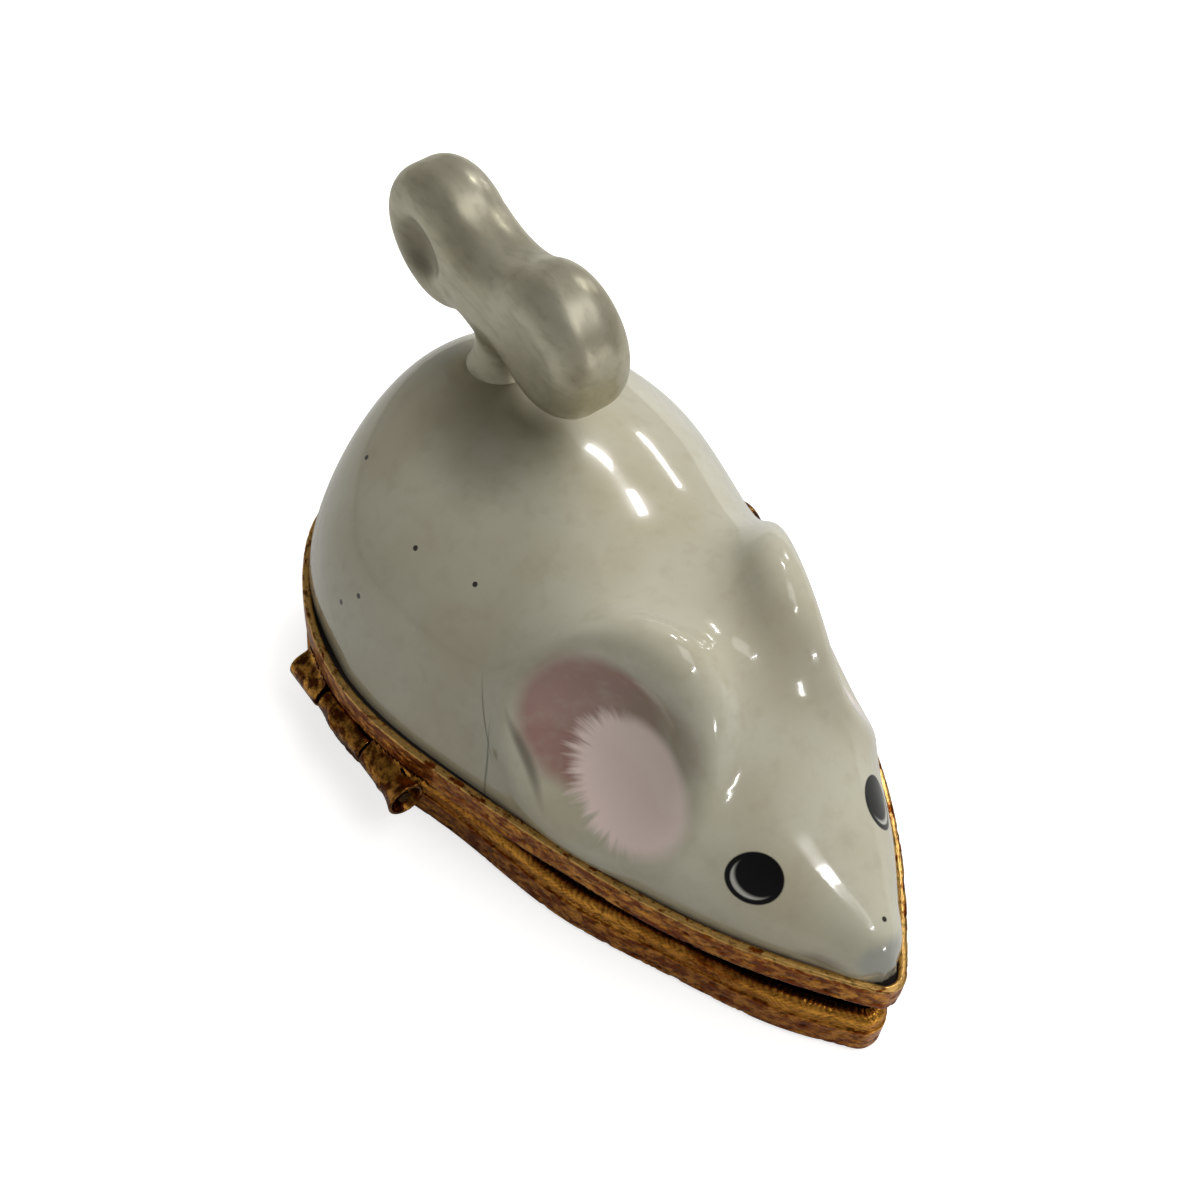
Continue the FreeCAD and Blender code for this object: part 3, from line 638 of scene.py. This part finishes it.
def makeStage():
    half = stage["floorHalf"]
    corners = [(-half, -half, 0), (half, -half, 0), (half, half, 0), (-half, half, 0)]
    floor = addMesh("floor", corners, [(0, 1, 2, 3)], smooth=False)
    floor.location.z = -stage["floorDrop"]
    # matt white paper: seen directly it is white with the object's soft shadow
    material, tree = newMaterial("paperMattWhite")
    path = add(tree, "ShaderNodeLightPath")
    matt = add(tree, "ShaderNodeBsdfDiffuse", {"Color": hexColour(stage["floor"])})
    spot = add(tree, "ShaderNodeTexCoord").outputs["Object"]
    away = add(tree, "ShaderNodeVectorMath", {"operation": "LENGTH"}, i0=spot)
    glow = add(tree, "ShaderNodeMapRange", {"From Min": 0.05, "From Max": 0.3, "To Min": 0.74, "To Max": 1.0},
               Value=away.outputs["Value"])
    white = add(tree, "ShaderNodeEmission", {"Color": (1, 1, 1, 1)}, Strength=glow.outputs[0])
    both = add(tree, "ShaderNodeAddShader", None, i0=matt.outputs[0], i1=white.outputs[0])
    mix = add(tree, "ShaderNodeMixShader", None, i0=path.outputs["Is Camera Ray"], i1=matt.outputs[0],
              i2=both.outputs[0])
    finishMaterial(tree, mix)
    floor.data.materials.append(material)
    world = bpy.data.worlds.new("studio")
    world.use_nodes = True
    tree = world.node_tree
    tree.nodes.clear()
    path = add(tree, "ShaderNodeLightPath")
    seen = add(tree, "ShaderNodeMath", {"operation": "MAXIMUM"}, i0=path.outputs["Is Camera Ray"],
               i1=path.outputs["Is Transmission Ray"])
    sky = add(tree, "ShaderNodeTexCoord").outputs["Generated"]
    height = add(tree, "ShaderNodeSeparateXYZ", None, Vector=sky)
    level = add(tree, "ShaderNodeMapRange", {"From Min": 0.0, "From Max": 0.7, "To Min": 0.42, "To Max": 0.2},
                Value=height.outputs["Z"])
    soft = add(tree, "ShaderNodeBackground", {"Color": hexColour(stage["room"])}, Strength=level.outputs[0])
    white = add(tree, "ShaderNodeBackground", {"Color": (1, 1, 1, 1), "Strength": 1.0})
    mix = add(tree, "ShaderNodeMixShader", None, i0=seen.outputs[0], i1=soft.outputs[0], i2=white.outputs[0])
    out = tree.nodes.new("ShaderNodeOutputWorld")
    tree.links.new(mix.outputs[0], out.inputs["Surface"])
    bpy.context.scene.world = world
    for name, lamp in lamps.items():
        turn, rise, away = math.radians(lamp["turn"]), math.radians(lamp["rise"]), lamp["away"]
        flat = away * math.cos(rise)
        place = Vector((flat * math.sin(turn), -flat * math.cos(turn), away * math.sin(rise)))
        addLamp(name, place + Vector(stage["aim"]), stage["aim"], lamp)


# materials
def mixColour(tree, factor, first, second):
    mix = tree.nodes.new("ShaderNodeMix")
    mix.data_type = "RGBA"
    tree.links.new(factor, mix.inputs[0])
    for socket, value in ((mix.inputs[6], first), (mix.inputs[7], second)):
        if isinstance(value, str):
            socket.default_value = hexColour(value)
        else:
            tree.links.new(value, socket)
    return mix.outputs[2]


def ramp(tree, value, low, high):
    # 0 below low, 1 above high, smooth between
    settings = {"interpolation_type": "SMOOTHSTEP", "From Min": low, "From Max": high}
    return add(tree, "ShaderNodeMapRange", settings, Value=value).outputs[0]


def math2(tree, operation, a, b=None):
    node = add(tree, "ShaderNodeMath", {"operation": operation})
    for socket, value in ((node.inputs[0], a), (node.inputs[1], b)):
        if value is None:
            continue
        if isinstance(value, (int, float)):
            socket.default_value = value
        else:
            tree.links.new(value, socket)
    return node.outputs[0]


def wash(tree, tone, colour, mask, amount=1.0):
    # lays a colour over the tone where the mask is 1
    if amount < 1:
        mask = math2(tree, "MULTIPLY", mask, amount)
    return mixColour(tree, mask, tone, colour)


def noise(tree, place, size, detail, **more):
    # size of the pattern in millimetres
    settings = {"Scale": 1 / (size * mm), "Detail": detail, **more}
    return add(tree, "ShaderNodeTexNoise", settings, Vector=place).outputs[0]


def painted(tree, name):
    return add(tree, "ShaderNodeAttribute", {"attribute_name": name}).outputs


def patchSpace(tree, place, centre, axes, radii):
    # coordinates of a painted patch, 1 at its edge; centre and radii in millimetres
    rotation = Matrix([list(a) for a in axes]).transposed().to_euler()
    settings = {"vector_type": "TEXTURE", "Location": [c * mm for c in centre],
                "Rotation": rotation, "Scale": [r * mm for r in radii]}
    return add(tree, "ShaderNodeMapping", settings, Vector=place).outputs[0]


def patch(tree, place, centre, axes, radii):
    local = patchSpace(tree, place, centre, axes, radii)
    return add(tree, "ShaderNodeVectorMath", {"operation": "LENGTH"}, i0=local).outputs["Value"]


paint = {
    "grey": "#AFA890", "greyWarm": "#9A8F76", "greyCool": "#B8B5A2",
    "pink": "#E8D4CC", "mauve": "#957268", "ridgeShade": "#857258",
    # the line below holds two painted shades: the key's shadow on the back and the dark in the creases
    "nose": "#8A8D87", "mouth": "#77695A", "creaseShade": "#4A4234", "keyShadow": "#57523A", "speck": "#2B2620",
    "eyeBlack": "#0A0A0B", "eyeGlint": "#B0B0A8",
    "pinkPlace": (2.6, -2.3), "pinkSize": (4.9, 4.0), "pinkTurn": -16, "fringe": 0.17,
    "mauvePlace": (-1.9, -0.3), "mauveSize": (5.2, 5.6),
    "ridgeShadePlace": (2.6, 2.2), "ridgeShadeSize": (3.8, 3.2),
    "eye": (1.95, 1.75),
    "eyes": ((-5.3, -18.7, 12.8), (5.3, -18.7, 12.8)),
    "specks": ((-10.6, 20.4, 19.6), (-12.1, 11.6, 19.4), (-10.6, 6.5, 19.8), (-15.5, 13.4, 14.6),
               (-16.2, 14.7, 13.0), (0.2, -25.4, 12.0)),
    "creases": (((-13.4, 1.1, 15.0), (-14.05, -0.6, 12.6), 0.07),
                ((-14.05, -0.6, 12.6), (-14.7, -1.5, 9.2), 0.07),
                ((-13.4, -2.2, 14.8), (-13.1, -4.6, 12.3), 0.2)),
}


def earPaint(tree, place, fine, tone, side):
    # mauve in the hollow, painted shade in olive in front along the inside of the ridge, a pink patch brushed
    # outwards at its rear edge
    axes, middle = earFrame(side)
    flip = axes if side < 0 else (axes[0], -axes[1], axes[2])
    turned = math.radians(paint["pinkTurn"])
    long = axes[0] * math.cos(turned) + axes[1] * math.sin(turned)
    wide = -axes[0] * math.sin(turned) + axes[1] * math.cos(turned)
    if side > 0:
        wide = -wide

    def onDish(name):
        across, up = paint[name]
        return middle + axes[0] * across + axes[1] * up

    shade = patch(tree, place, onDish("mauvePlace"), flip, (*paint["mauveSize"], 6.0))
    mottled = math2(tree, "MULTIPLY", ramp(tree, shade, 1.08, 0.8), ramp(tree, fine, -0.5, 0.6))
    tone = wash(tree, tone, paint["mauve"], mottled)
    # olive painted shade in the dish along the inside of the ridge
    shade = patch(tree, place, onDish("ridgeShadePlace"), flip, (*paint["ridgeShadeSize"], 4.0))
    tone = wash(tree, tone, paint["ridgeShade"], ramp(tree, shade, 1.15, 0.6), 0.6)
    local = patchSpace(tree, place, onDish("pinkPlace"), (long, wide, axes[2]), (*paint["pinkSize"], 6.0))
    # the patch's edge moves in and out with the angle round it, which leaves brush strokes
    parts = add(tree, "ShaderNodeSeparateXYZ", None, Vector=local)
    angle = math2(tree, "ARCTAN2", parts.outputs[1], parts.outputs[0])
    far = add(tree, "ShaderNodeVectorMath", {"operation": "LENGTH"}, i0=local).outputs["Value"]
    polar = add(tree, "ShaderNodeCombineXYZ", None, X=angle, Y=math2(tree, "MULTIPLY", far, 0.12)).outputs[0]
    strokes = add(tree, "ShaderNodeTexNoise", {"Scale": 12.0, "Detail": 4.0}, Vector=polar).outputs[0]
    brushed = ramp(tree, math2(tree, "ADD", parts.outputs[0], parts.outputs[1]), 0.4, -0.9)
    reach = math2(tree, "MULTIPLY", math2(tree, "SUBTRACT", strokes, 0.5), brushed)
    edge = math2(tree, "ADD", far, math2(tree, "MULTIPLY", reach, paint["fringe"] * 4))
    return wash(tree, tone, paint["pink"], ramp(tree, edge, 1.16, 0.84))


def eyePaint(tree, place, tone, middle):
    # black disc with a pale crescent; also returns where the black is
    out = Vector((math.copysign(0.72, middle[0]), -0.42, 0.55)).normalized()
    across = Vector((0, 0, 1)).cross(out).normalized()
    axes = (across, out.cross(across), out)
    wide, high = paint["eye"]
    black = ramp(tree, patch(tree, place, middle, axes, (wide, high, 3.0)), 1.04, 0.97)
    tone = wash(tree, tone, paint["eyeBlack"], black)
    rim = ramp(tree, patch(tree, place, middle, axes, (wide * 0.8, high * 0.8, 3.0)), 1.05, 0.95)
    pupil = Vector(middle) + axes[1] * 0.38 + axes[0] * 0.28
    inner = ramp(tree, patch(tree, place, pupil, axes, (wide * 0.88, high * 0.88, 3.0)), 0.9, 1.1)
    return wash(tree, tone, paint["eyeGlint"], math2(tree, "MULTIPLY", rim, inner)), black


def glazeMaterial():
    # porcelain painted by hand under a clear glaze: cloudy grey, soft painted shade under the key, in the
    # ears and along the creases, mirror-bright on top
    material, tree = newMaterial("porcelainGreyGlaze")
    level = np.eye(3)
    place = add(tree, "ShaderNodeTexCoord").outputs["Object"]
    cloud = noise(tree, place, 11, 3.0)
    fine = noise(tree, place, 1.4, 4.0)
    tone = mixColour(tree, ramp(tree, cloud, 0.35, 0.65), paint["grey"], paint["greyCool"])
    tone = wash(tree, tone, paint["greyWarm"], ramp(tree, fine, 0.45, 0.75), 0.25)
    # painted shadow of the key on the back where it stands, made blotchy by the cloud noise
    keyShadow = patch(tree, place, (-4.5, 13.5, 23.2), level, (6.5, 7.0, 3.5))
    cloudy = math2(tree, "MULTIPLY", math2(tree, "SUBTRACT", cloud, 0.5), 0.8)
    keyShadow = math2(tree, "ADD", keyShadow, cloudy)
    tone = wash(tree, tone, paint["keyShadow"], ramp(tree, keyShadow, 1.1, 0.3), 0.5)
    for side in (-1, 1):
        tone = earPaint(tree, place, fine, tone, side)
    nose = patch(tree, place, (-0.6, -27.0, 10.2), level, (2.4, 1.8, 1.6))
    tone = wash(tree, tone, paint["nose"], ramp(tree, nose, 1.1, 0.5), 0.8)
    mouth = patch(tree, place, (-3.6, -24.0, 9.3), level, (1.2, 3.4, 0.5))
    tone = wash(tree, tone, paint["mouth"], ramp(tree, mouth, 1.3, 0.3), 0.55)
    for spot in paint["specks"]:
        dot = patch(tree, place, spot, level, (0.2, 0.2, 0.2))
        tone = wash(tree, tone, paint["speck"], ramp(tree, dot, 1.2, 0.8))
    # painted shade: thin dark strokes along the creases and in the recess behind the ear's lower edge
    for start, end, width in paint["creases"]:
        way = Vector(end) - Vector(start)
        along = way.normalized()
        side = along.cross(Vector((-1, 0, 0.2))).normalized()
        stroke = patch(tree, place, Vector(start) + way / 2, (along, side, along.cross(side)),
                       (way.length * 0.6, width, 1.2))
        tone = wash(tree, tone, paint["creaseShade"], ramp(tree, stroke, 2.2, 0.4), 0.7)
    blacks = 0.0
    for middle in paint["eyes"]:
        tone, black = eyePaint(tree, place, tone, middle)
        blacks = math2(tree, "ADD", black, blacks)
    bump = add(tree, "ShaderNodeBump", {"Strength": 0.06, "Distance": 0.3 * mm}, Height=cloud)
    # the eyes are enamel over the glaze: far less mirror there, so they stay black
    clear = math2(tree, "SUBTRACT", 1.0, math2(tree, "MULTIPLY", blacks, 0.75))
    shader = add(tree, "ShaderNodeBsdfPrincipled", {"Roughness": 0.16, "IOR": 1.5, "Coat Roughness": 0.03},
                 Base_Color=tone, Normal=bump.outputs[0], Coat_Weight=math2(tree, "MULTIPLY", clear, 0.8),
                 Specular_IOR_Level=math2(tree, "MULTIPLY", clear, 0.5))
    finishMaterial(tree, shader)
    return material


lustrePaint = {
    "silver": "#B5AF98", "silverPale": "#C6C1AC", "brush": "#857F6B",
    "rust": "#5A3A2C", "hollow": "#5A5142", "under": "#2E2619",
}


def lustreMaterial():
    # silver lustre fired over the glaze: a thin brushed-on metal film, satin, with painted shade in its
    # dimple and under the bow
    material, tree = newMaterial("porcelainSilverLustre")
    level = np.eye(3)
    place = add(tree, "ShaderNodeTexCoord").outputs["Object"]
    broad = noise(tree, place, 5, 2.0)
    stretched = add(tree, "ShaderNodeMapping", {"Scale": (1, 0.35, 1)}, Vector=place).outputs[0]
    brush = noise(tree, stretched, 0.6, 5.0)
    tone = mixColour(tree, ramp(tree, broad, 0.35, 0.65), lustrePaint["silver"], lustrePaint["silverPale"])
    tone = wash(tree, tone, lustrePaint["brush"], ramp(tree, brush, 0.45, 0.7), 0.25)
    spot = patch(tree, place, (-1.6, 9.3, 32.6), level, (1.1, 1.1, 1.1))
    tone = wash(tree, tone, lustrePaint["rust"], ramp(tree, spot, 1.2, 0.2), 0.6)
    # painted shade in the dimple of the rear lobe
    hollow = patch(tree, place, (-2.4, 27.3, 29.9), level, (1.6, 2.6, 2.6))
    tone = wash(tree, tone, lustrePaint["hollow"], ramp(tree, hollow, 1.2, 0.4), 0.6)
    # painted shade on the underside of the front lobe of the bow
    under = patch(tree, place, (0.5, 14.5, 25.0), level, (3.4, 3.5, 2.2))
    tone = wash(tree, tone, lustrePaint["under"], ramp(tree, under, 1.2, 0.4), 0.8)
    rough = add(tree, "ShaderNodeMapRange", {"To Min": 0.3, "To Max": 0.44}, Value=brush).outputs[0]
    bump = add(tree, "ShaderNodeBump", {"Strength": 0.25, "Distance": 0.08 * mm}, Height=brush)
    shader = add(tree, "ShaderNodeBsdfPrincipled", {"Metallic": 0.75}, Base_Color=tone, Roughness=rough,
                 Normal=bump.outputs[0])
    finishMaterial(tree, shader)
    return material


brass = {
    "band": {"bright": "#EBA246", "brown": "#86400F", "dark": "#200B03", "rough": (0.22, 0.40)},
    "hinge": {"bright": "#D89A44", "brown": "#54280C", "dark": "#120702", "rough": (0.16, 0.36)},
    "wire": {"bright": "#8A6430", "brown": "#4A2E14", "dark": "#120A05", "rough": (0.3, 0.5)},
    "neck": "#0E0804", "shoulder": "#F5B04A", "rim": "#E3B469",
}


def brassMaterial(name, kind, onBand=False):
    # gilt brass, antiqued with a dark wash: bright on edges and bumps, brown in streaks, black in hollows; on
    # the bands the shoulder and top rim also carry painted highlight and the recessed neck painted shade
    material, tree = newMaterial(name)
    low, high = kind["rough"]
    place = add(tree, "ShaderNodeTexCoord").outputs["Object"]
    if onBand:
        place = painted(tree, "unrolled")["Vector"]
        place = add(tree, "ShaderNodeMapping", {"Scale": (0.6, 1, 1)}, Vector=place).outputs[0]
    mottle = noise(tree, place, 0.7, 5.0, Roughness=0.6)
    broad = noise(tree, place, 7, 2.0)
    grain = noise(tree, place, 0.25, 3.0)
    tone = mixColour(tree, ramp(tree, mottle, 0.36, 0.6), kind["bright"], kind["brown"])
    tone = wash(tree, tone, kind["brown"], ramp(tree, broad, 0.40, 0.65), 0.4)
    if onBand:
        hollow = painted(tree, "hollow")["Fac"]
        tone = wash(tree, tone, kind["dark"], ramp(tree, hollow, 0.05, 0.9), 0.5)
        # near black on the neck and the deepest dents: patina, and on the neck also painted shade
        tone = wash(tree, tone, brass["neck"], ramp(tree, hollow, 0.9, 1.0))
        # painted highlight on the base band's shoulder, in broad patches
        lit = math2(tree, "MULTIPLY", painted(tree, "shoulder")["Fac"], ramp(tree, broad, 0.68, 0.46))
        tone = wash(tree, tone, brass["shoulder"], lit)
        # the band's top rim painted lighter in patches: rubbed gilt with a painted highlight
        mottled = math2(tree, "MULTIPLY", painted(tree, "rim")["Fac"], ramp(tree, mottle, 0.62, 0.5))
        tone = wash(tree, tone, brass["rim"], mottled)
    tone = wash(tree, tone, kind["dark"], ramp(tree, grain, 0.5, 0.68), 0.55)
    rough = add(tree, "ShaderNodeMapRange", {"To Min": low, "To Max": high}, Value=mottle).outputs[0]
    bump = add(tree, "ShaderNodeBump", {"Strength": 0.4, "Distance": 0.06 * mm}, Height=mottle)
    shader = add(tree, "ShaderNodeBsdfPrincipled", {"Metallic": 1.0}, Base_Color=tone, Roughness=rough,
                 Normal=bump.outputs[0])
    finishMaterial(tree, shader)
    return material


cementPaint = {"dark": "#0C0A08", "pale": "#1D1712"}


def cementMaterial():
    # dark setting cement, rough and slightly grainy, nearly black in the narrow gap
    material, tree = newMaterial("cementDarkCast")
    place = add(tree, "ShaderNodeTexCoord").outputs["Object"]
    grain = noise(tree, place, 0.4, 4.0)
    tone = mixColour(tree, grain, cementPaint["dark"], cementPaint["pale"])
    bump = add(tree, "ShaderNodeBump", {"Strength": 0.6, "Distance": 0.1 * mm}, Height=grain)
    shader = add(tree, "ShaderNodeBsdfPrincipled", {"Roughness": 0.9}, Base_Color=tone,
                 Normal=bump.outputs[0])
    finishMaterial(tree, shader)
    return material


makeCamera()
makeStage()
print("stage ready")
glaze = glazeMaterial()
lustre = lustreMaterial()
bandBrass = brassMaterial("brassGiltAntiqued", brass["band"], onBand=True)
hingeBrass = brassMaterial("brassGiltTurned", brass["hinge"])
wireBrass = brassMaterial("brassWireDrawn", brass["wire"])
cement = cementMaterial()

lidOutline = outlineOf("lid_bezel", 7.5)
baseOutline = outlineOf("base_bezel", 1.4)
shell = meshField("mouseShell", mouseShape(), (-17.6, -28.0, 6.3), (17.4, 28.2, 27.2), mouse["step"])
fit(shell, "lid", "grey_glazed_porcelain", glaze, "lid_porcelain")
windingKey = meshField("windingKey", keyField, (-6, 7, 21.5), (6, 33, 38), key["step"])
fit(windingKey, "lid", "silver_lustre_porcelain", lustre, "winding_key")
lidBand = sweepBezel("lidBezel", lidOutline, lidBezelProfile(), (0, 0), 11)
fit(lidBand, "lid", "antique_gilt_brass", bandBrass, "lid_bezel")
baseBand = sweepBezel("baseBezel", baseOutline, baseBezelProfile(), (2.7, 3.95), 23)
fit(baseBand, "base", "antique_gilt_brass", bandBrass, "base_bezel")
rear = knuckle("knuckleRear", "hinge_knuckle_rear", plainBarrel)
fit(rear, "lid", "antique_gilt_brass", hingeBrass, "hinge_knuckle_rear")
middle = knuckle("knuckleMiddle", "hinge_knuckle_middle", carvedBarrel, lug=False, leaf=True)
fit(middle, "base", "antique_gilt_brass", hingeBrass, "hinge_knuckle_middle")
front = knuckle("knuckleFront", "hinge_knuckle_front", trumpetBarrel, cupped=True)
fit(front, "lid", "antique_gilt_brass", hingeBrass, "hinge_knuckle_front")

# the pieces that keep their solid's mesh
finishes = {"porcelain": glaze, "cement": cement, "pin": wireBrass}
for name, node in nodes.items():
    node.data.materials.clear()
    node.data.materials.append(next((m for word, m in finishes.items() if word in name), hingeBrass))

bpy.context.scene.view_settings.view_transform = "Standard"
